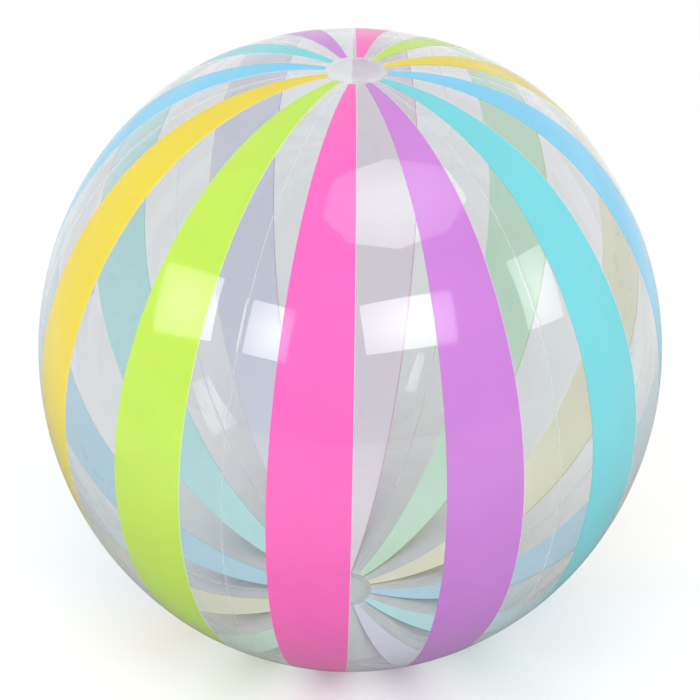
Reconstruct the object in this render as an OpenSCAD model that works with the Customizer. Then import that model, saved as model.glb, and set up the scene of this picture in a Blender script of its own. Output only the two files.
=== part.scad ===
// Inflatable beach ball: six clear PVC panels welded edge to edge, two printed
// stripes on the outside of each, an end cap over each pole and a push-in valve.
// Millimetres. The origin is the centre of the flat face that the ball rests on,
// +Z runs up through both poles, and the valve faces -X.
// A heading is an angle seen from above, 0 at the front (-Y) and 90 at +X.

/* [Ball] */
// Radius of the inflated ball at its equator
ball_r = 335; // [300:5:450]
// Radius of the arc that shapes the belt, as a share of the ball's radius
belt_arc = 1.10; // [1.05:0.01:1.15]
// Slope of the surface where the belt arc gives way to the shoulder arc, in degrees
shoulder_slope = 41.3; // [35:0.1:45]
// Radius of the arc that shapes the shoulders, as a share of the ball's radius
shoulder_arc = 0.797; // [0.77:0.001:0.81]

/* [Panels] */
// Thickness of the clear PVC film
film_t = 0.3; // [0.3:0.1:0.6]
// How far each welded seam fin stands into the ball
fin_depth = 2.5; // [1.5:0.5:6]
// Radius of the hole that the panels leave at each pole
pole_hole_r = 24; // [18:1:26]

/* [Printed stripes] */
// Width of a stripe, in degrees of heading
stripe_angle = 14.25; // [10:0.25:16]
// Thickness of the ink and its white backing
ink_t = 0.15; // [0.1:0.05:0.3]

/* [End caps] */
// Radius of an end cap
cap_r = 31; // [28:1:34]
// Thickness of an end cap
cap_t = 0.6; // [0.4:0.1:1]

/* [Valve] */
// Radius of the flange welded to the film
flange_r = 14; // [12:0.5:18]
// How far the flange stands out from the film at the valve's centre
flange_rise = 0.6; // [0.4:0.1:1]
// Radius of the hole through the flange that the stem slides in
flange_bore_r = 6.6; // [6.5:0.1:7]
// Radius of the stem's tube
stem_r = 5; // [4.5:0.1:5.5]
// Radius of the air passage through the stem
stem_bore_r = 3; // [2.5:0.1:3.5]
// Depth from the film to the stem's inner end, with the valve pushed in
stem_depth = 20; // [16:1:26]
// Length of the plug's shank inside the stem
plug_grip = 9; // [6:0.5:12]

/* [Hidden] */
PANEL_NAMES = [
    "panel_front_right", "panel_right", "panel_rear_right",
    "panel_rear_left", "panel_left", "panel_front_left"
];

panel_angle = 60;                   // six panels round the ball
stripe_pitch = panel_angle / 2;     // two stripes on each
valve_heading = 270;                // middle of the left panel

// The outline: belt arc, shoulder arcs and a flat at each pole
belt_centre_x = ball_r * (1 - belt_arc);
shoulder_centre_x = belt_centre_x + ball_r * (belt_arc - shoulder_arc) * cos(shoulder_slope);
shoulder_centre_z = ball_r * (belt_arc - shoulder_arc) * sin(shoulder_slope);
pole_z = shoulder_centre_z + ball_r * shoulder_arc;
centre_h = pole_z + cap_t;          // height of the ball's centre above its rest
shoulder_steps = 14;                // straight facets along each shoulder arc
belt_steps = 24;                    // and along the belt arc

print_gap = 0.2;                    // between a stripe's end and the end cap
weld_depth = 0.3;                   // how far the flange sinks into the film when welded
collar_r = 9;                       // the flange's collar, inside the hole in the film
collar_depth = 1.5;
film_hole_gap = 0.3;                // between the collar and the film
neck_r = 8.6;                       // the thin sleeve round the stem
neck_t = 0.5;
stem_foot_t = 0.5;                  // disc that joins the stem's inner end to the neck
rim_r = 6.3;                        // the stem's mouth
rim_top = 1.6;
plug_gap = 0.05;                    // between the plug's shank and the stem's bore
plug_tip_h = 1.5;
plug_tip_r = 2;
plug_head_r = 6.2;
plug_head_t = 1.2;
tab_reach = 8.6;                    // the plug's finger tab
tab_w = 5;
tab_t = 0.8;
lug_reach = 7.5;                    // lugs that the tether's two ends join
tether_w = 3;
tether_t = 0.6;
tether_low = 0.8;                   // height of the leg from the stem's lug
tether_high = 2.0;                  // height of the leg from the plug's lug
tether_reach = 12;                  // from the valve's axis to the hairpin's centre
flap_gap = 0.05;                    // between the flap and the stem's inner end
flap_r = 4.6;
flap_t = 0.5;
hinge_r = 0.25;                     // bead along the flap's upper edge
hinge_w = 4;

clear_film = [0.86, 0.9, 0.92, 0.35];
clear_cap = [0.9, 0.92, 0.93, 0.45];
soft_vinyl = [0.92, 0.93, 0.94, 0.8];
pink = [0.99, 0.48, 0.79];
purple = [0.84, 0.57, 0.88];
aqua = [0.5, 0.86, 0.89];
blue = [0.55, 0.83, 0.95];
yellow = [0.94, 0.87, 0.36];
lime = [0.78, 0.92, 0.41];

$fn = 240;

// Points of the ball's outline from the bottom pole to the top, drawn smaller by inset,
// or larger where inset is negative
function arc_point(x, z, r, slope) = [x + r * cos(slope), z + r * sin(slope)];
function outline_points(inset) = [
    for (step = [0 : shoulder_steps])
        arc_point(shoulder_centre_x, -shoulder_centre_z, ball_r * shoulder_arc - inset,
                  -90 + (90 - shoulder_slope) * step / shoulder_steps),
    for (step = [1 : belt_steps - 1])
        arc_point(belt_centre_x, 0, ball_r * belt_arc - inset,
                  shoulder_slope * (2 * step / belt_steps - 1)),
    for (step = [0 : shoulder_steps])
        arc_point(shoulder_centre_x, shoulder_centre_z, ball_r * shoulder_arc - inset,
                  shoulder_slope + (90 - shoulder_slope) * step / shoulder_steps)
];

function backwards(list) = [for (i = [len(list) - 1 : -1 : 0]) list[i]];

// Cross-section of a layer between two insets, from the radius inner_r outwards
module layer_section(outer_inset, inner_inset, inner_r) {
    outer_z = pole_z - outer_inset;
    inner_z = pole_z - inner_inset;
    polygon(concat(
        [[inner_r, -outer_z]], outline_points(outer_inset), [[inner_r, outer_z]],
        [[inner_r, inner_z]], backwards(outline_points(inner_inset)), [[inner_r, -inner_z]]
    ));
}

// Cross-section of a seam fin, which stops where the flat round each pole begins
module fin_section() {
    polygon(concat(
        outline_points(film_t / 2), backwards(outline_points(film_t + fin_depth))
    ));
}

// Flat fin along one edge of a panel that is centred on +X. side is -1 or 1, and the fin's
// outer face lies on the seam, so two neighbours' fins meet face to face
module seam_fin(side) {
    rotate([0, 0, side * panel_angle / 2])
        rotate([90, 0, 0])
            translate([0, 0, side > 0 ? 0 : -film_t])
                linear_extrude(height = film_t) fin_section();
}

// Clear panel between two seams, centred on +X
module panel() {
    rotate([0, 0, -panel_angle / 2])
        rotate_extrude(angle = panel_angle) layer_section(0, film_t, pole_hole_r);
    for (side = [-1, 1]) seam_fin(side);
}

// Puts children on the valve's axis: +Z outwards from the film, +X upwards
module on_valve_axis() {
    facing(valve_heading) translate([ball_r, 0, 0]) rotate([0, 90, 0]) rotate([0, 0, 180]) children();
}

// Ring round the valve's axis between two heights
module ring(outer_r, inner_r, low, high) {
    translate([0, 0, low]) difference() {
        cylinder(r = outer_r, h = high - low);
        translate([0, 0, -1]) cylinder(r = inner_r, h = high - low + 2);
    }
}

module lifted() {
    translate([0, 0, centre_h]) children();
}

// Turns children that are centred on +X to a heading
module facing(heading) {
    rotate([0, 0, heading - 90]) children();
}

module clear_panel(index) {
    heading = (index + 0.5) * panel_angle;
    color(clear_film) lifted() facing(heading) difference() {
        panel();
        if (heading == valve_heading)
            translate([ball_r - collar_r, 0, 0])
                rotate([0, 90, 0]) cylinder(r = collar_r + film_hole_gap, h = 2 * collar_r);
    }
}

module stripe(index, ink) {
    color(ink) lifted() facing((index + 0.5) * stripe_pitch)
        rotate([0, 0, -stripe_angle / 2])
            rotate_extrude(angle = stripe_angle) layer_section(-ink_t, 0, cap_r + print_gap);
}

module end_cap(low) {
    color(clear_cap) translate([0, 0, low]) cylinder(r = cap_r, h = cap_t);
}

// Flat ring welded round the hole in the film, with a collar that passes through the hole
module valve_flange() {
    color(soft_vinyl) lifted() on_valve_axis() {
        ring(flange_r, flange_bore_r, -weld_depth, flange_rise);
        ring(collar_r, flange_bore_r, -collar_depth, -weld_depth);
    }
}

module valve_neck() {
    color(soft_vinyl) lifted() on_valve_axis()
        ring(neck_r, neck_r - neck_t, -stem_depth, -collar_depth);
}

module valve_stem() {
    color(soft_vinyl) lifted() on_valve_axis() difference() {
        union() {
            translate([0, 0, -stem_depth]) cylinder(r = stem_r, h = stem_depth);
            translate([0, 0, -stem_depth - stem_foot_t]) cylinder(r = neck_r, h = stem_foot_t);
            cylinder(r = rim_r, h = rim_top);
            translate([-lug_reach, -tether_w / 2, tether_low]) cube([lug_reach, tether_w, tether_t]);
        }
        translate([0, 0, -stem_depth - 1]) cylinder(r = stem_bore_r, h = stem_depth + rim_top + 2);
    }
}

module valve_plug() {
    shank_r = stem_bore_r - plug_gap;
    color(soft_vinyl) lifted() on_valve_axis() {
        translate([0, 0, rim_top - plug_grip]) cylinder(r = shank_r, h = plug_grip);
        translate([0, 0, rim_top - plug_grip - plug_tip_h])
            cylinder(r1 = plug_tip_r, r2 = shank_r, h = plug_tip_h);
        translate([0, 0, rim_top]) cylinder(r = plug_head_r, h = plug_head_t);
        translate([0, -tab_w / 2, rim_top + plug_head_t - tab_t]) cube([tab_reach, tab_w, tab_t]);
        translate([-lug_reach, -tether_w / 2, tether_high]) cube([lug_reach, tether_w, tether_t]);
    }
}

// Flat strap folded into a hairpin between the stem's lug and the plug's lug
module plug_tether() {
    bend_r = (tether_high - tether_low + tether_t) / 2;
    bend_z = (tether_low + tether_high + tether_t) / 2;
    color(soft_vinyl) lifted() on_valve_axis() {
        for (low = [tether_low, tether_high])
            translate([-tether_reach, -tether_w / 2, low])
                cube([tether_reach - lug_reach, tether_w, tether_t]);
        translate([-tether_reach, tether_w / 2, bend_z]) rotate([90, 0, 0]) difference() {
            cylinder(r = bend_r, h = tether_w);
            translate([0, 0, -1]) cylinder(r = bend_r - tether_t, h = tether_w + 2);
            translate([0, -bend_r, -1]) cube([bend_r, 2 * bend_r, tether_w + 2]);
        }
    }
}

// Thin flap behind the air passage, hinged along its upper edge
module check_flap() {
    face_z = -stem_depth - stem_foot_t - flap_gap;
    color(soft_vinyl) lifted() on_valve_axis() {
        translate([0, 0, face_z - flap_t]) cylinder(r = flap_r, h = flap_t);
        translate([flap_r - 0.2, hinge_w / 2, face_z - flap_t / 2])
            rotate([90, 0, 0]) cylinder(r = hinge_r, h = hinge_w);
    }
}

clear_panel(0);  // panel_front_right
clear_panel(1);  // panel_right
clear_panel(2);  // panel_rear_right
clear_panel(3);  // panel_rear_left
clear_panel(4);  // panel_left
clear_panel(5);  // panel_front_left
stripe(0, pink);  // pink_stripe_front
stripe(1, purple);  // purple_stripe_front
stripe(2, aqua);  // aqua_stripe_right
stripe(3, blue);  // blue_stripe_right
stripe(4, yellow);  // yellow_stripe_rear
stripe(5, lime);  // lime_stripe_rear
stripe(6, pink);  // pink_stripe_rear
stripe(7, purple);  // purple_stripe_rear
stripe(8, aqua);  // aqua_stripe_left
stripe(9, blue);  // blue_stripe_left
stripe(10, yellow);  // yellow_stripe_front
stripe(11, lime);  // lime_stripe_front
end_cap(centre_h + pole_z);  // top_end_cap
end_cap(0);  // bottom_end_cap
valve_flange();
valve_neck();
valve_stem();
valve_plug();
plug_tether();
check_flap();
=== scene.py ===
import math

import bmesh
import bpy
from mathutils import Matrix, Vector


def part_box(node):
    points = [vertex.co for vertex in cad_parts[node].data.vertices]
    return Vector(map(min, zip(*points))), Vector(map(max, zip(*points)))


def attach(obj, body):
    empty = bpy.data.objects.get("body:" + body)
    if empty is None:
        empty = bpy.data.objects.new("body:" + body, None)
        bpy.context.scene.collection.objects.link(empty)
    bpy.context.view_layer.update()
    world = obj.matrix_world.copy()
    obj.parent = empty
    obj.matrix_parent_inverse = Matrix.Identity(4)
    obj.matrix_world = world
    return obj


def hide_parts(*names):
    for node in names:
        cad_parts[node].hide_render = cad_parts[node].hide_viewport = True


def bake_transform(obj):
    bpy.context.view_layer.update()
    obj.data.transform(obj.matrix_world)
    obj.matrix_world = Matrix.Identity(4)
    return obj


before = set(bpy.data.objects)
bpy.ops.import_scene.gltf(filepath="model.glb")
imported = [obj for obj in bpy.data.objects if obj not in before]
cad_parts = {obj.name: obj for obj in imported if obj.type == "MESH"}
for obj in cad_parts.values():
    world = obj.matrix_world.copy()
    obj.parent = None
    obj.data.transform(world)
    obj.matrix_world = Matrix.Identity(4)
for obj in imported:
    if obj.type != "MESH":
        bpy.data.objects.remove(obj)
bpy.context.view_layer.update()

MM = 0.001
SAME_POINT = 0.001 * MM          # corners of a cut nearer than this are one corner

# Sizes taken from the frame
BALL_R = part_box("panel_right")[1][0]
CAP_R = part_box("top_end_cap")[1][0]
CAP_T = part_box("bottom_end_cap")[1][2]
POLE_Z = (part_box("top_end_cap")[0][2] - CAP_T) / 2
CENTRE_Z = POLE_Z + CAP_T

# The outline's arcs, with the same shares of the radius as the CAD model
BELT_R = 1.10 * BALL_R
SHOULDER_R = 0.797 * BALL_R
SHOULDER_SLOPE = math.radians(41.3)
BELT_X = BALL_R - BELT_R
SHOULDER_X = BELT_X + (BELT_R - SHOULDER_R) * math.cos(SHOULDER_SLOPE)
SHOULDER_Z = (BELT_R - SHOULDER_R) * math.sin(SHOULDER_SLOPE)
BELT_LENGTH = BELT_R * SHOULDER_SLOPE
SHOULDER_LENGTH = SHOULDER_R * (math.pi / 2 - SHOULDER_SLOPE)

# Panels
PANELS = (
    "panel_front_right", "panel_right", "panel_rear_right",
    "panel_rear_left", "panel_left", "panel_front_left",
)
PANEL_ANGLE = 360 / len(PANELS)
FILM_T = 0.3 * MM
POLE_HOLE_R = 24 * MM
SEAM_GAP = 0.03 * MM
FIN_DEPTH = 2.5 * MM
FIN_END_SHARE = 0.1              # the part of that depth which is left at the poles
FIN_T = 0.3 * MM                 # half of the welded fin
FIN_GAP = 0.05 * MM              # between the fin and the next panel's film
FIN_POINTS = 5                   # corners of a panel's section that lie on its fin
PANEL_ROWS = 170
PANEL_COLUMNS = 44
VALVE_HEADING = 270

# How the inflated film departs from the smooth outline. It does so fully beyond the second of
# each pair of distances, and not at all within the first.
FROM_POLE_AXIS = (40 * MM, 150 * MM)
FROM_VALVE = (20 * MM, 70 * MM)
LOBE_DEPTH = 0.4 * MM            # a panel's bulge between its seams
CREASE_DEPTH = 0.06 * MM         # the extra dip right at a seam
CREASE_REACH = 1.0 * MM
PUCKER_DEPTH = 0.006 * MM        # the small waves along a seam
PUCKER_LENGTH = 31 * MM
PUCKER_DRIFT = 0.35              # the share of a length by which the puckers shift to and fro
DRIFT_LENGTH = 3.1 * PUCKER_LENGTH
PUCKER_REACH = 7 * MM
WAVE_DEPTH = 0.05 * MM           # the slow waves over a whole panel
WAVES_ROUND = (5, 11)            # how often two waves repeat round the ball
WAVES_ALONG = (17, -23)          # and how fast they run along it, in radians a metre

# Printed stripes
STRIPE_ANGLE = 14.25
STRIPE_PITCH = 30
STRIPE_ROWS = 170
STRIPE_COLUMNS = 16
INK_LIFT = 0.1 * MM              # the printed face stands this far proud of the film
BACKING_LIFT = -FILM_T - 0.15 * MM  # and its backing shows this far inside it
PRINT_GAP = 0.2 * MM
STRIPES = (
    ("pink_stripe_front", "pink"), ("purple_stripe_front", "purple"),
    ("aqua_stripe_right", "aqua"), ("blue_stripe_right", "blue"),
    ("yellow_stripe_rear", "yellow"), ("lime_stripe_rear", "lime"),
    ("pink_stripe_rear", "pink"), ("purple_stripe_rear", "purple"),
    ("aqua_stripe_left", "aqua"), ("blue_stripe_left", "blue"),
    ("yellow_stripe_front", "yellow"), ("lime_stripe_front", "lime"),
)
INKS = {
    "pink": (0.86, 0.135, 0.48),
    "purple": (0.55, 0.21, 0.62),
    "aqua": (0.165, 0.61, 0.67),
    "blue": (0.18, 0.57, 0.79),
    "yellow": (0.73, 0.59, 0.035),
    "lime": (0.48, 0.70, 0.085),
}

# The white backing's tint, seen from inside the ball
BACKINGS = {
    "pink": (0.97, 0.86, 0.95),
    "purple": (0.86, 0.84, 0.98),
    "aqua": (0.60, 0.96, 0.97),
    "blue": (0.56, 0.83, 0.98),
    "yellow": (0.98, 0.93, 0.70),
    "lime": (0.71, 0.96, 0.76),
}

# The camera, at the photograph's angle, aimed at the ball's centre
VIEW_HEADING = 21.2
VIEW_ELEVATION = 33.2
VIEW_DISTANCE = 2.341
VIEW_ROLL = 1.26
VIEW_LENS = 111                  # mm


def direction(heading, elevation):
    """Unit vector from the ball's centre towards a heading and elevation in degrees."""
    h, e = math.radians(heading), math.radians(elevation)
    return Vector((math.sin(h) * math.cos(e), -math.cos(h) * math.cos(e), math.sin(e)))


def add_camera():
    data = bpy.data.cameras.new("photo_camera")
    data.lens = VIEW_LENS
    data.clip_start = 0.01
    camera = bpy.data.objects.new("photo_camera", data)
    bpy.context.scene.collection.objects.link(camera)
    towards = direction(VIEW_HEADING, VIEW_ELEVATION)
    aim = (-towards).to_track_quat("-Z", "Y").to_matrix()
    roll = Matrix.Rotation(math.radians(VIEW_ROLL), 3, "Z")
    camera.location = Vector((0, 0, CENTRE_Z)) + VIEW_DISTANCE * towards
    camera.rotation_euler = (aim @ roll).to_euler()
    bpy.context.scene.camera = camera


# ---- Node helpers ----

def node(tree, kind, inputs=None, **settings):
    """Adds a shader node. inputs maps a socket's name or index to a value or to another socket."""
    made = tree.nodes.new("ShaderNode" + kind)
    for key, value in settings.items():
        setattr(made, key, value)
    for key, value in (inputs or {}).items():
        if isinstance(value, bpy.types.NodeSocket):
            tree.links.new(value, made.inputs[key])
        else:
            made.inputs[key].default_value = value
    return made


def new_material(name):
    material = bpy.data.materials.new(name)
    material.use_nodes = True
    material.node_tree.nodes.clear()
    return material, material.node_tree


def finish_material(tree, shader):
    node(tree, "OutputMaterial", {"Surface": shader})


def maths(tree, operation, *values):
    return node(tree, "Math", dict(enumerate(values)), operation=operation).outputs[0]


def remap(tree, value, low, high, to_low=0.0, to_high=1.0):
    """value taken from the range low..high to the range to_low..to_high."""
    inputs = {"Value": value, "From Min": low, "From Max": high, "To Min": to_low, "To Max": to_high}
    return node(tree, "MapRange", inputs).outputs[0]


def object_place(tree):
    return node(tree, "TexCoord").outputs["Object"]


def noise(tree, scale, detail=2.0, roughness=0.5):
    """Grey noise over the object, with a scale in features per metre."""
    inputs = {"Vector": object_place(tree), "Scale": scale, "Detail": detail, "Roughness": roughness}
    return node(tree, "TexNoise", inputs).outputs[0]


def blend_colours(tree, share, first, second):
    inputs = {0: share, 6: first, 7: second}
    return node(tree, "Mix", inputs, data_type="RGBA").outputs[2]


def bump(tree, height, distance):
    return node(tree, "Bump", {"Height": height, "Distance": distance, "Strength": 1}).outputs[0]


def attribute(tree, name):
    return node(tree, "Attribute", attribute_name=name).outputs["Fac"]


def rgba(colour, gain=1.0):
    return tuple(gain * c for c in colour) + (1.0,)


# ---- Materials ----

VINYL_IOR = 1.5
HEAD_ON_SHINE = 0.04             # what vinyl mirrors of light that meets it head on
LIGHT_PASSES = (0.995, 0.995, 0.995)  # what one surface lets through of lamp and bounced light
MILK = (0.78, 0.81, 0.83)        # the colour of the film's haze
WELD_MILK = (0.95, 0.96, 0.97)   # and of the weld's, which is whiter
WHITE = (1, 1, 1)
HAIRLINE = (0.9, 0.9, 0.9)       # the white backing, where it shows beside the ink
BACK_GLOW = (0.95, 0.95, 0.95)   # the light that comes through the backing
INK_GLOW_SHARE = 0.2             # how much of the ink's look is light from behind it
BACK_GLOW_SHARE = 0.12           # and of the backing's
CLOUD_LOW, CLOUD_HIGH = 0.3, 0.7  # most of a noise lies between these

FLOOR_TONE = 0.85                # the floor's grey as it shows
FLOOR_SHADED_GIVES = 0.55               # painted shade: its grey as it lights the ball, next to it
FLOOR_SHADED_MIRRORED = 0.38            # painted shade: its grey as the ball mirrors it, next to it
FLOOR_NEAR, FLOOR_FAR = 0.4, 1.2  # the painted shade fades back to its own tone between these distances


def clouds(tree, scale, detail, low, high, roughness=0.5):
    """Soft noise that goes from low to high."""
    return remap(tree, noise(tree, scale, detail, roughness), CLOUD_LOW, CLOUD_HIGH, low, high)


def clear_vinyl(name, passes, haze, roughness, milk_colour=MILK):
    """Thin clear film. passes is the colour one surface lets through, and haze is how milky it is."""
    material, tree = new_material(name)
    patches = clouds(tree, 7, 3, 0, 1)
    seen = blend_colours(tree, patches, rgba(passes, 0.985), rgba(passes))
    path = node(tree, "LightPath").outputs
    lights = maths(tree, "MAXIMUM", path["Is Shadow Ray"], path["Is Diffuse Ray"])
    tint = blend_colours(tree, lights, seen, rgba(LIGHT_PASSES))
    facing = node(tree, "LayerWeight", {"Blend": 0.5}).outputs["Facing"]
    slant = maths(tree, "POWER", facing, 5)
    shine = maths(tree, "MULTIPLY_ADD", slant, 1 - HEAD_ON_SHINE, HEAD_ON_SHINE)
    gloss = clouds(tree, 30, 4, 0.6 * roughness, 1.6 * roughness)
    ripple = bump(tree, noise(tree, 120), 0.001 * MM)
    clear = node(tree, "BsdfTransparent", {"Color": tint}).outputs[0]
    milk = node(tree, "BsdfDiffuse", {"Color": rgba(milk_colour), "Roughness": 0.6}).outputs[0]
    mirror_inputs = {"Color": rgba(WHITE), "Roughness": gloss, "Normal": ripple}
    mirror = node(tree, "BsdfAnisotropic", mirror_inputs).outputs[0]
    hazy = node(tree, "MixShader", {0: haze, 1: clear, 2: milk}).outputs[0]
    finish_material(tree, node(tree, "MixShader", {0: shine, 1: hazy, 2: mirror}).outputs[0])
    return material


def ink_front(name, ink):
    """Glossy printed ink, with the white backing showing as a hairline at one edge."""
    material, tree = new_material(name)
    mottle = clouds(tree, 16, 5, 0, 1, roughness=0.6)
    body = blend_colours(tree, mottle, rgba(ink, 0.96), rgba(ink, 1.02))
    hairline = remap(tree, attribute(tree, "to_high_edge"), 0.25 * MM, 0.6 * MM, 0.6, 0)
    colour = blend_colours(tree, hairline, body, rgba(HAIRLINE))
    inputs = {
        "Base Color": colour, "IOR": VINYL_IOR,
        "Roughness": clouds(tree, 45, 4, 0.05, 0.10),
        "Normal": bump(tree, noise(tree, 150), 0.002 * MM),
    }
    front = node(tree, "BsdfPrincipled", inputs).outputs[0]
    through = node(tree, "BsdfTranslucent", {"Color": colour}).outputs[0]
    finish_material(tree, node(tree, "MixShader", {0: INK_GLOW_SHARE, 1: front, 2: through}).outputs[0])
    return material


def ink_back(name, ink, backing):
    """The white backing seen from inside the ball, with the ink showing beyond its edges."""
    material, tree = new_material(name)
    mottle = clouds(tree, 22, 5, 0, 1, roughness=0.6)
    body = blend_colours(tree, mottle, rgba(backing, 0.97), rgba(backing, 1.01))
    low_line = remap(tree, attribute(tree, "to_low_edge"), 0.7 * MM, 1.0 * MM, 0.8, 0)
    colour = blend_colours(tree, low_line, body, rgba(ink, 0.9))
    inputs = {
        "Base Color": colour, "IOR": VINYL_IOR,
        "Roughness": clouds(tree, 60, 4, 0.25, 0.4),
        "Normal": bump(tree, noise(tree, 200), 0.004 * MM),
    }
    face = node(tree, "BsdfPrincipled", inputs).outputs[0]
    through = node(tree, "BsdfTranslucent", {"Color": rgba(BACK_GLOW)}).outputs[0]
    finish_material(tree, node(tree, "MixShader", {0: BACK_GLOW_SHARE, 1: face, 2: through}).outputs[0])
    return material


def floor_paint():
    """Pale paint. Near the ball it has painted shade: it gives less light than it shows, and the ball
    mirrors it darker.
    """
    material, tree = new_material("floor_paint")
    seen = clouds(tree, 1.5, 3, FLOOR_TONE - 0.01, FLOOR_TONE + 0.01)
    from_ball = node(tree, "VectorMath", {0: object_place(tree)}, operation="LENGTH").outputs["Value"]
    # Painted shade next to the ball, in the light the floor gives and in its reflection
    shaded_given = remap(tree, from_ball, FLOOR_NEAR, FLOOR_FAR, FLOOR_SHADED_GIVES, FLOOR_TONE)
    mirrored = remap(tree, from_ball, FLOOR_NEAR, FLOOR_FAR, FLOOR_SHADED_MIRRORED, FLOOR_TONE)
    path = node(tree, "LightPath").outputs
    colour = blend_colours(tree, path["Is Diffuse Ray"], seen, shaded_given)
    colour = blend_colours(tree, path["Is Glossy Ray"], colour, mirrored)
    inputs = {"Base Color": colour, "Roughness": 0.7, "Specular IOR Level": 0.2}
    finish_material(tree, node(tree, "BsdfPrincipled", inputs).outputs[0])
    return material


# ---- Shapes ----

SHARP_ANGLE = 35                 # edges that turn more than this, in degrees, are drawn sharp
NEAR_AXIS = 0.4 * MM             # a disc's profile ends this near its axis, and a flat face closes it


def outline(along):
    """Radius, height above the ball's centre, and slope of the normal, at a distance from the equator."""
    reach = abs(along)
    side = 1 if along >= 0 else -1
    if reach <= BELT_LENGTH:
        slope = reach / BELT_R
        radius = BELT_X + BELT_R * math.cos(slope)
        height = BELT_R * math.sin(slope)
    elif reach <= BELT_LENGTH + SHOULDER_LENGTH:
        slope = SHOULDER_SLOPE + (reach - BELT_LENGTH) / SHOULDER_R
        radius = SHOULDER_X + SHOULDER_R * math.cos(slope)
        height = SHOULDER_Z + SHOULDER_R * math.sin(slope)
    else:
        slope = math.pi / 2
        radius = SHOULDER_X - (reach - BELT_LENGTH - SHOULDER_LENGTH)
        height = POLE_Z
    return radius, side * height, side * slope


def along_at_pole(radius):
    """Distance from the equator to a circle of a given radius on the flat round a pole."""
    return BELT_LENGTH + SHOULDER_LENGTH + SHOULDER_X - radius


def smooth(value, low, high):
    share = min(1, max(0, (value - low) / (high - low)))
    return share * share * (3 - 2 * share)


def relief(heading, along):
    """How far the film stands proud of the outline here: it dips and puckers at the seams."""
    radius = outline(along)[0]
    seam_number = round(heading / PANEL_ANGLE)
    offset = (heading % PANEL_ANGLE) / PANEL_ANGLE * 2 - 1
    to_seam = (1 - abs(offset)) * math.radians(PANEL_ANGLE / 2) * radius
    away_from_poles = smooth(radius, *FROM_POLE_AXIS)
    bulge = -LOBE_DEPTH * offset ** 2
    crease = -CREASE_DEPTH * math.exp(-to_seam / CREASE_REACH)
    drift = PUCKER_DRIFT * math.sin(along / DRIFT_LENGTH + 2 * seam_number)
    phase = along / PUCKER_LENGTH + drift
    pucker = PUCKER_DEPTH * math.sin(2 * math.pi * phase) * math.exp(-to_seam / PUCKER_REACH)
    first, second = [
        around * math.radians(heading) + lengthwise * along
        for around, lengthwise in zip(WAVES_ROUND, WAVES_ALONG)
    ]
    # Never above zero, so that the film doesn't stand proud of its outline
    wave = math.sin(first) * math.cos(second) - 1
    to_valve = math.hypot(math.radians(heading - VALVE_HEADING) * radius, along)
    away_from_valve = smooth(to_valve, *FROM_VALVE)
    return away_from_poles * (bulge + crease + pucker + away_from_valve * WAVE_DEPTH * wave)


def on_ball(heading, along, lift, sideways=0.0):
    """A point on the film, raised by lift and moved sideways towards higher headings."""
    radius, height, slope = outline(along)
    raised = lift + relief(heading, along)
    radius += raised * math.cos(slope)
    height += raised * math.sin(slope)
    h = math.radians(heading)
    out = Vector((math.sin(h), -math.cos(h), 0))
    aside = Vector((math.cos(h), math.sin(h), 0))
    return radius * out + sideways * aside + Vector((0, 0, CENTRE_Z + height))


def on_valve(x, y, z):
    """A point in the valve's own axes: z outwards from the film, x up."""
    return Vector((-BALL_R - z, y, CENTRE_Z + x))


def steps(low, high, count):
    return [low + (high - low) * i / count for i in range(count + 1)]


def new_object(name, mesh):
    made = bpy.data.objects.new(name, mesh)
    bpy.context.scene.collection.objects.link(made)
    return made


def shade(mesh):
    mesh.shade_smooth()
    mesh.set_sharp_from_angle(angle=math.radians(SHARP_ANGLE))


def edit(mesh, change):
    """Applies change(parts), where parts is the mesh opened as a bmesh."""
    parts = bmesh.new()
    parts.from_mesh(mesh)
    change(parts)
    parts.to_mesh(mesh)
    parts.free()


def face_outwards(parts):
    bmesh.ops.recalc_face_normals(parts, faces=parts.faces)


def join_corners(parts):
    bmesh.ops.remove_doubles(parts, verts=parts.verts, dist=SAME_POINT)


def end_strip(loop, across):
    """Faces that close the end of a thin curved sheet, whose first points face its last ones."""
    return [(i, i + 1, loop - 2 - i, loop - 1 - i) for i in range(across)]


def loft(name, sections, wrap=False, end_faces=None):
    """Closed mesh through loops of equally many points, which wraps round or is closed at both ends.

    end_faces lists the faces that close an end, as places in its loop. One flat face is the default.
    """
    count = len(sections[0])
    points = [p for section in sections for p in section]
    faces = []
    for row in range(len(sections) if wrap else len(sections) - 1):
        here = row * count
        there = (row + 1) % len(sections) * count
        for k in range(count):
            after = (k + 1) % count
            faces.append((here + k, here + after, there + after, there + k))
    if not wrap:
        last_loop = len(points) - count
        for face in end_faces or [tuple(range(count))]:
            faces.append(face[::-1])
            faces.append(tuple(last_loop + k for k in face))
    mesh = bpy.data.meshes.new(name)
    mesh.from_pydata(points, [], faces)
    edit(mesh, face_outwards)
    shade(mesh)
    return new_object(name, mesh)


def combine(target, other, operation):
    """Cuts or joins another solid into target."""
    modifier = target.modifiers.new("combine", "BOOLEAN")
    modifier.operation = operation
    modifier.object = other
    modifier.solver = "EXACT"
    modifier.material_mode = "INDEX"
    bpy.context.view_layer.update()
    evaluated = target.evaluated_get(bpy.context.evaluated_depsgraph_get())
    mesh = bpy.data.meshes.new_from_object(evaluated)
    edit(mesh, join_corners)
    target.modifiers.clear()
    target.data = mesh
    bpy.data.objects.remove(other)
    shade(mesh)


def turned(name, profile, where, ring=False, turns=120):
    """Solid turned from (radius, height) points, round the axis that where() sets.

    A ring's profile is a closed outline.
    """
    angles = [2 * math.pi * i / turns for i in range(turns)]
    sections = [[where(r * math.cos(a), r * math.sin(a), h) for a in angles] for r, h in profile]
    return loft(name, sections, wrap=ring)


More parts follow.
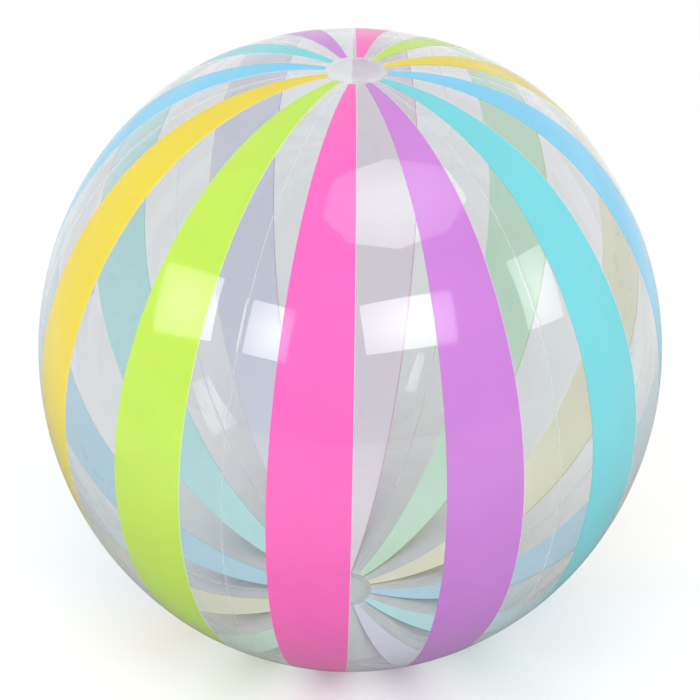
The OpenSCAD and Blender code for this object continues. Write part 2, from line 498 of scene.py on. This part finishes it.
def rounded(corners, radius, bends=4):
    """A closed outline with its corners rounded."""
    points = []
    for i, corner in enumerate(corners):
        here = Vector(corner)
        before = Vector(corners[i - 1]) - here
        after = Vector(corners[(i + 1) % len(corners)]) - here
        trim = min(radius, 0.45 * before.length, 0.45 * after.length)
        start = here + trim * before.normalized()
        end = here + trim * after.normalized()
        for t in steps(0, 1, bends):
            point = (1 - t) ** 2 * start + 2 * t * (1 - t) * here + t ** 2 * end
            points.append((point.x, point.y))
    return points


def slab(name, reach, width, low, high, edge):
    """Flat bar on the valve's axes, from reach[0] to reach[1] along x, with soft edges."""
    corners = [(-width / 2, low), (width / 2, low), (width / 2, high), (-width / 2, high)]
    ring = rounded(corners, edge)
    rows = [reach[0], reach[0] + edge, reach[1] - edge, reach[1]]
    insets = [edge, 0, 0, edge]
    middle = (low + high) / 2
    sections = []
    for x, inset in zip(rows, insets):
        across = 1 - 2 * inset / width
        tall = 1 - inset / (high - low)
        sections.append([on_valve(x, y * across, middle + (z - middle) * tall) for y, z in ring])
    return loft(name, sections)


# ---- Pieces ----

def fin_depth(along):
    """Depth of the welded fin, which tapers away towards the poles."""
    taper = smooth(outline(along)[0], SHOULDER_X, 2 * SHOULDER_X)
    return FILM_T + FIN_GAP + FIN_DEPTH * (FIN_END_SHARE + (1 - FIN_END_SHARE) * taper)


def panel_section(centre, along):
    """Loop round a panel's film at one height, with the welded fin hanging from its far seam."""
    radius = outline(along)[0]
    half = PANEL_ANGLE / 2 - math.degrees(SEAM_GAP / radius)
    shares = steps(-1, 1, PANEL_COLUMNS)
    # The points lie closer together towards the seams
    headings = [centre + half * share * (1.5 - 0.5 * share * share) for share in shares]
    seam = centre + PANEL_ANGLE / 2
    under = -FILM_T - FIN_GAP
    low = -fin_depth(along)
    outer = [on_ball(h, along, 0) for h in headings]
    fin = [
        on_ball(seam, along, under),
        on_ball(seam, along, under, FIN_T),
        on_ball(seam, along, low, FIN_T),
        on_ball(seam, along, low, -FIN_T),
        on_ball(seam, along, -FILM_T, -FIN_T),
    ]
    inside = headings[: PANEL_COLUMNS - 1]
    fin_side = seam - math.degrees(2 * FIN_T / radius)
    squeeze = min(1, (fin_side - inside[0]) / (inside[-1] - inside[0]))
    inner = [on_ball(inside[0] + squeeze * (h - inside[0]), along, -FILM_T) for h in reversed(inside)]
    return outer + fin + inner


def cut_valve_hole(film):
    """Opens the film for the flange's collar."""
    radius, reach = 9.3 * MM, 5 * MM
    cutter = turned("valve_hole", [(radius, -reach), (radius, reach)], on_valve)
    combine(film, cutter, "DIFFERENCE")


def panel(index, film, weld, ring):
    """One gore. Its ends, under the end caps, are welded to them and share the ring's material."""
    centre = (index + 0.5) * PANEL_ANGLE
    end = along_at_pole(POLE_HOLE_R)
    rows = steps(-end, end, PANEL_ROWS)
    sections = [panel_section(centre, along) for along in rows]
    loop = len(sections[0])
    film_faces = PANEL_COLUMNS - 2
    fin_end = tuple(range(film_faces, loop - film_faces))
    made = loft(PANELS[index] + "_film", sections, end_faces=end_strip(loop, film_faces) + [fin_end])
    for material in (film, weld, ring):
        made.data.materials.append(material)
    weld_place, ring_place = 1, 2
    for face in made.data.polygons[: PANEL_ROWS * loop]:
        row, column = divmod(face.index, loop)
        if PANEL_COLUMNS < column < PANEL_COLUMNS + FIN_POINTS:
            face.material_index = weld_place
        elif outline(rows[row])[0] < CAP_R:
            face.material_index = ring_place
    if centre == VALVE_HEADING:
        cut_valve_hole(made)
    return made


def stripe_section(centre, along):
    headings = steps(centre - STRIPE_ANGLE / 2, centre + STRIPE_ANGLE / 2, STRIPE_COLUMNS)
    outer = [on_ball(h, along, INK_LIFT) for h in headings]
    inner = [on_ball(h, along, BACKING_LIFT) for h in reversed(headings)]
    return outer + inner


def mark_edges(made, rows):
    """Stores each point's distance to a stripe's two long edges, for its material."""
    low_edge = made.data.attributes.new("to_low_edge", "FLOAT", "POINT")
    high_edge = made.data.attributes.new("to_high_edge", "FLOAT", "POINT")
    lows, highs = [], []
    shares = steps(0, 1, STRIPE_COLUMNS)
    for along in rows:
        width = math.radians(STRIPE_ANGLE) * outline(along)[0]
        for share in shares + shares[::-1]:
            lows.append(width * share)
            highs.append(width * (1 - share))
    low_edge.data.foreach_set("value", lows)
    high_edge.data.foreach_set("value", highs)


def stripe(index, materials):
    """One printed stripe. materials gives an ink's front and back by its name."""
    name, ink = STRIPES[index]
    centre = (index + 0.5) * STRIPE_PITCH
    end = along_at_pole(CAP_R + PRINT_GAP)
    rows = steps(-end, end, STRIPE_ROWS)
    sections = [stripe_section(centre, along) for along in rows]
    loop = len(sections[0])
    made = loft(name + "_print", sections, end_faces=end_strip(loop, STRIPE_COLUMNS))
    mark_edges(made, rows)
    for material in materials[ink]:
        made.data.materials.append(material)
    front_place, back_place = 0, 1
    for face in made.data.polygons[: STRIPE_ROWS * loop]:
        inside = STRIPE_COLUMNS < face.index % loop < loop - 1
        face.material_index = back_place if inside else front_place
    return made


def place(made, body, replaced):
    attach(made, body)
    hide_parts(replaced)


def above_top_pole(x, y, z):
    return Vector((x, y, CENTRE_Z + POLE_Z + z))


def below_bottom_pole(x, y, z):
    return Vector((x, y, CAP_T - z))


def end_cap(name, where, ring, middle):
    """Welded disc over a pole: a thin middle, a ribbed ring over the panels' ends, a soft rim."""
    middle_t = 0.25 * MM
    ring_t = CAP_T - 0.12 * MM
    rib_t = 0.1 * MM
    ring_in = POLE_HOLE_R + 1 * MM
    ring_out = CAP_R - 1.5 * MM
    ribs = 5
    profile = [(NEAR_AXIS, 0.03 * MM), (CAP_R - 0.2 * MM, 0.03 * MM), (CAP_R, 0.15 * MM)]
    profile += [(CAP_R - 0.25 * MM, 0.3 * MM), (ring_out + 0.3 * MM, 0.32 * MM)]
    for radius in steps(ring_out, ring_in, ribs * 6):
        wave = math.cos(2 * math.pi * ribs * (radius - ring_in) / (ring_out - ring_in))
        profile.append((radius, ring_t - rib_t * 0.5 * (1 + wave)))
    profile += [(ring_in - 0.4 * MM, middle_t), (4 * MM, middle_t)]
    profile += [(3.2 * MM, middle_t + 0.15 * MM), (NEAR_AXIS, middle_t + 0.15 * MM)]
    made = turned(name, profile, where)
    made.data.materials.append(ring)
    made.data.materials.append(middle)
    ring_place, middle_place = 0, 1
    for face in made.data.polygons:
        radius = math.hypot(face.center.x, face.center.y)
        face.material_index = middle_place if radius < ring_in else ring_place
    return made


# ---- Valve, in its own axes ----

# The lugs on the stem and the plug, which the tether joins
LUG_REACH = (-7.6 * MM, -5.5 * MM)
LUG_WIDTH = 3 * MM
LUG_EDGE = 0.15 * MM


def valve_flange(material):
    """Disc welded round the hole in the film, with a collar through the hole and a ribbed weld."""
    bore, collar, edge = 6.6 * MM, 9 * MM, 14 * MM
    corners = [
        (bore, -1.5 * MM), (collar, -1.5 * MM), (collar, -0.3 * MM), (edge, -0.3 * MM),
        (edge, 0.1 * MM), (edge - 1.2 * MM, 0.45 * MM),
    ]
    profile = rounded(corners, 0.15 * MM)
    for radius in steps(edge - 1.6 * MM, collar + 0.6 * MM, 24):
        ripple = math.sin(math.pi * (edge - 1.6 * MM - radius) / (0.4 * MM)) ** 2
        profile.append((radius, (0.45 - 0.12 * ripple) * MM))
    profile += [(collar, 0.55 * MM), (bore + 0.4 * MM, 0.6 * MM), (bore + 0.1 * MM, 0.55 * MM)]
    profile.append((bore, 0.4 * MM))
    made = turned("valve_flange_disc", profile, on_valve, ring=True)
    made.data.materials.append(material)
    return made


def valve_neck(material):
    """Thin sleeve with soft folds, between the flange's collar and the stem's foot."""
    top, bottom, middle_r, half_t, folds = -1.5 * MM, -20 * MM, 8.35 * MM, 0.2 * MM, 3
    outer, inner = [], []
    for height in steps(bottom, top, 48):
        share = (height - bottom) / (top - bottom)
        fold = 0.35 * MM * math.sin(math.pi * share) * math.sin(2 * math.pi * folds * share)
        outer.append((middle_r + fold + half_t, height))
        inner.append((middle_r + fold - half_t, height))
    made = turned("valve_neck_sleeve", outer + inner[::-1], on_valve, ring=True)
    made.data.materials.append(material)
    return made


def valve_stem(material):
    bore, tube, foot, rim = 3 * MM, 5 * MM, 8.6 * MM, 6.3 * MM
    corners = [
        (bore, -20.5 * MM), (foot, -20.5 * MM), (foot, -20 * MM), (tube, -20 * MM),
        (tube, 0), (rim, 0), (rim, 1.6 * MM), (bore, 1.6 * MM),
    ]
    profile = rounded(corners, 0.25 * MM)
    made = turned("valve_stem_tube", profile, on_valve, ring=True)
    lug = slab("stem_lug", LUG_REACH, LUG_WIDTH, 0.8 * MM, 1.4 * MM, LUG_EDGE)
    combine(made, lug, "UNION")
    made.data.materials.clear()
    made.data.materials.append(material)
    return made


def valve_plug(material):
    shank, tip, head, top = 2.95 * MM, 2 * MM, 6.2 * MM, 2.8 * MM
    profile = [
        (tip * 0.5, -8.9 * MM), (tip, -8.8 * MM), (shank - 0.2 * MM, -7.6 * MM), (shank, -7.2 * MM),
        (shank, -5 * MM), (shank - 0.25 * MM, -4.8 * MM), (shank - 0.25 * MM, -4 * MM),
        (shank, -3.8 * MM), (shank, 1.6 * MM), (head - 0.3 * MM, 1.6 * MM), (head, 1.8 * MM),
        (head, 2.4 * MM), (head - 0.15 * MM, 2.65 * MM), (head - 0.5 * MM, top),
        (4.6 * MM, top), (4.3 * MM, top - 0.25 * MM), (0.5 * MM, top - 0.4 * MM),
    ]
    made = turned("valve_plug_stopper", profile, on_valve)
    tab = slab("plug_tab", (5 * MM, 8.6 * MM), 5 * MM, 2 * MM, top, 0.2 * MM)
    combine(made, tab, "UNION")
    lug = slab("plug_lug", LUG_REACH, LUG_WIDTH, 2 * MM, 2.6 * MM, LUG_EDGE)
    combine(made, lug, "UNION")
    made.data.materials.clear()
    made.data.materials.append(material)
    return made


def plug_tether(material):
    """Flat strap folded into a hairpin between the stem's lug and the plug's lug."""
    near, far, middle, bend_r = LUG_REACH[0], -12 * MM, 1.7 * MM, 0.6 * MM
    half_t, half_w, edge = 0.28 * MM, 1.45 * MM, 0.15 * MM
    corners = [(-half_w, -half_t), (half_w, -half_t), (half_w, half_t), (-half_w, half_t)]
    to_bend = [(x, -90) for x in steps(near, far, 8)[:-1]]
    bend = [(far, turn) for turn in steps(-90, -270, 16)]
    from_bend = [(x, -270) for x in steps(far, near, 8)[1:]]
    sections = []
    for x, turn in to_bend + bend + from_bend:
        out = Vector((math.cos(math.radians(turn)), math.sin(math.radians(turn))))
        centre = Vector((x, middle)) + bend_r * out
        ring = rounded(corners, edge)
        sections.append([
            on_valve(centre.x + across * out.x, y, centre.y + across * out.y) for y, across in ring
        ])
    made = loft("plug_tether_strap", sections)
    made.data.materials.append(material)
    return made


def check_flap(material):
    reach, top, bottom = 4.6 * MM, -20.55 * MM, -21.05 * MM
    edge = 0.12 * MM
    profile = [
        (NEAR_AXIS, bottom), (reach - edge, bottom), (reach, bottom + edge),
        (reach, top - edge), (reach - edge, top), (NEAR_AXIS, top),
    ]
    made = turned("check_flap_disc", profile, on_valve)
    made.data.materials.append(material)
    return made


def build_valve():
    soft = clear_vinyl("valve_vinyl", (0.90, 0.905, 0.91), 0.35, 0.10)
    firm = clear_vinyl("plug_vinyl", (0.88, 0.885, 0.89), 0.6, 0.14)
    place(valve_flange(soft), "ball", "valve_flange")
    place(valve_stem(firm), "stem", "valve_stem")
    place(valve_plug(firm), "plug", "valve_plug")
    place(check_flap(soft), "flap", "check_flap")
    neck = valve_neck(soft)
    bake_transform(neck)
    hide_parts("valve_neck")
    tether = plug_tether(firm)
    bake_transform(tether)
    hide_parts("plug_tether")


def build_ball():
    film = clear_vinyl("clear_film", (0.91, 0.917, 0.922), 0.02, 0.02)
    weld = clear_vinyl("seam_weld", (0.985, 0.985, 0.985), 0.2, 0.06, milk_colour=WELD_MILK)
    ring = clear_vinyl("clear_end_cap", (0.97, 0.97, 0.97), 0.03, 0.05)
    top = end_cap("top_end_cap_disc", above_top_pole, ring, film)
    bottom = end_cap("bottom_end_cap_disc", below_bottom_pole, ring, film)
    place(top, "ball", "top_end_cap")
    place(bottom, "ball", "bottom_end_cap")
    inks = {
        name: (ink_front("ink_" + name, ink), ink_back("ink_" + name + "_back", ink, BACKINGS[name]))
        for name, ink in INKS.items()
    }
    for index, node_name in enumerate(PANELS):
        place(panel(index, film, weld, ring), "ball", node_name)
    for index, (node_name, ink) in enumerate(STRIPES):
        place(stripe(index, inks), "ball", node_name)


# ---- Studio ----

WORLD_STRENGTH = 1.15
DIM_STRENGTH = 0.45              # the world's strength in reflections, on its dim side
DIM_HEADING = VIEW_HEADING
DIM_ELEVATION = 25
DIM_EDGE = 0.5                   # cosine of the angle from the dim side's middle where it is fully dim
FLOOR_REACH = 8                  # half the floor's width
SOFTBOX_DISTANCE = 1.5           # from the ball's centre
HOT_SPOT_GAIN, FADED_GAIN = 1.25, 0.6  # a softbox's glow at its hot spot, and where it has faded
FADE_REACH = 1.5                 # how far from the hot spot that is, in half widths and half heights

# Where each softbox stands, the angle it is turned in its own plane, its size, and its glow
SOFTBOXES = (
    {"name": "left_softbox", "heading": -41.6, "elevation": 25.8, "roll": 21.1,
     "width": 0.60, "height": 0.46, "strength": 6.3},
    {"name": "front_softbox", "heading": -9.1, "elevation": 30, "roll": 4.2,
     "width": 0.385, "height": 0.40, "strength": 5.5, "hot_spot": 0.3},
    {"name": "centre_softbox", "heading": 43.8, "elevation": 34.8, "roll": -2.8,
     "width": 0.80, "height": 0.38, "strength": 5.8, "hot_spot": 0.2},
    {"name": "right_softbox", "heading": 96.6, "elevation": 25.6, "roll": -18.1,
     "width": 0.39, "height": 0.49, "strength": 4.2},
    {"name": "top_softbox", "heading": 69.9, "elevation": 74.5, "roll": -10.6,
     "width": 1.15, "height": 0.91, "strength": 3.6, "sides": 8, "lights": False},
)


def softbox_glow(name, width, height, strength, hot_spot):
    """Glow that is brightest at the hot spot, which lies so many half widths to one side."""
    material, tree = new_material(name)
    to_halves = {0: object_place(tree), 1: (2 / width, 2 / height, 0)}
    in_halves = node(tree, "VectorMath", to_halves, operation="MULTIPLY").outputs[0]
    aside = node(tree, "VectorMath", {0: in_halves, 1: (hot_spot, 0, 0)}, operation="SUBTRACT").outputs[0]
    distance = node(tree, "VectorMath", {0: aside}, operation="LENGTH").outputs["Value"]
    glow = remap(tree, distance, 0, FADE_REACH, HOT_SPOT_GAIN * strength, FADED_GAIN * strength)
    finish_material(tree, node(tree, "Emission", {"Color": rgba(WHITE), "Strength": glow}).outputs[0])
    return material


def softbox(name, heading, elevation, roll, width, height, strength, sides=4, hot_spot=0, lights=True):
    """Bright panel that faces the ball. It shows in reflections only, and lights the scene if asked."""
    corners = []
    for i in range(sides):
        turn = 2 * math.pi * (i + 0.5) / sides
        reach = 0.5 / math.cos(math.pi / sides)
        corners.append((reach * math.cos(turn) * width, reach * math.sin(turn) * height, 0))
    mesh = bpy.data.meshes.new(name)
    mesh.from_pydata(corners, [], [tuple(range(sides))])
    mesh.materials.append(softbox_glow(name + "_glow", width, height, strength, hot_spot))
    made = new_object(name, mesh)
    towards = direction(heading, elevation)
    aim = towards.to_track_quat("Z", "Y").to_matrix()
    made.location = Vector((0, 0, CENTRE_Z)) + SOFTBOX_DISTANCE * towards
    made.rotation_euler = (aim @ Matrix.Rotation(math.radians(roll), 3, "Z")).to_euler()
    made.visible_camera = False
    made.visible_shadow = False
    made.visible_diffuse = lights


def add_world():
    """Even white light all round. In mirror reflections the studio is dim on the camera's side."""
    world = bpy.data.worlds.new("studio")
    world.use_nodes = True
    tree = world.node_tree
    outwards = node(tree, "TexCoord").outputs["Generated"]
    dim_side = direction(DIM_HEADING, DIM_ELEVATION)
    facing = node(tree, "VectorMath", {0: outwards, 1: dim_side}, operation="DOT_PRODUCT").outputs["Value"]
    dimming = remap(tree, facing, 0, DIM_EDGE, 0, DIM_STRENGTH - WORLD_STRENGTH)
    mirrored = node(tree, "LightPath").outputs["Is Glossy Ray"]
    strength = maths(tree, "MULTIPLY_ADD", mirrored, dimming, WORLD_STRENGTH)
    background = tree.nodes["Background"]
    background.inputs["Color"].default_value = rgba(WHITE)
    tree.links.new(strength, background.inputs["Strength"])
    bpy.context.scene.world = world


def add_floor():
    mesh = bpy.data.meshes.new("floor")
    reach = FLOOR_REACH
    corners = [(-reach, -reach, 0), (reach, -reach, 0), (reach, reach, 0), (-reach, reach, 0)]
    mesh.from_pydata(corners, [], [(0, 1, 2, 3)])
    mesh.materials.append(floor_paint())
    new_object("floor", mesh)


def add_studio():
    add_world()
    bpy.context.scene.view_settings.view_transform = "Standard"
    # Light crosses many clear surfaces on its way in and out of the ball, and any can mirror it
    bpy.context.scene.cycles.transparent_max_bounces = 32
    bpy.context.scene.cycles.glossy_bounces = 8
    add_floor()
    for settings in SOFTBOXES:
        softbox(**settings)


add_camera()
build_ball()
build_valve()
add_studio()
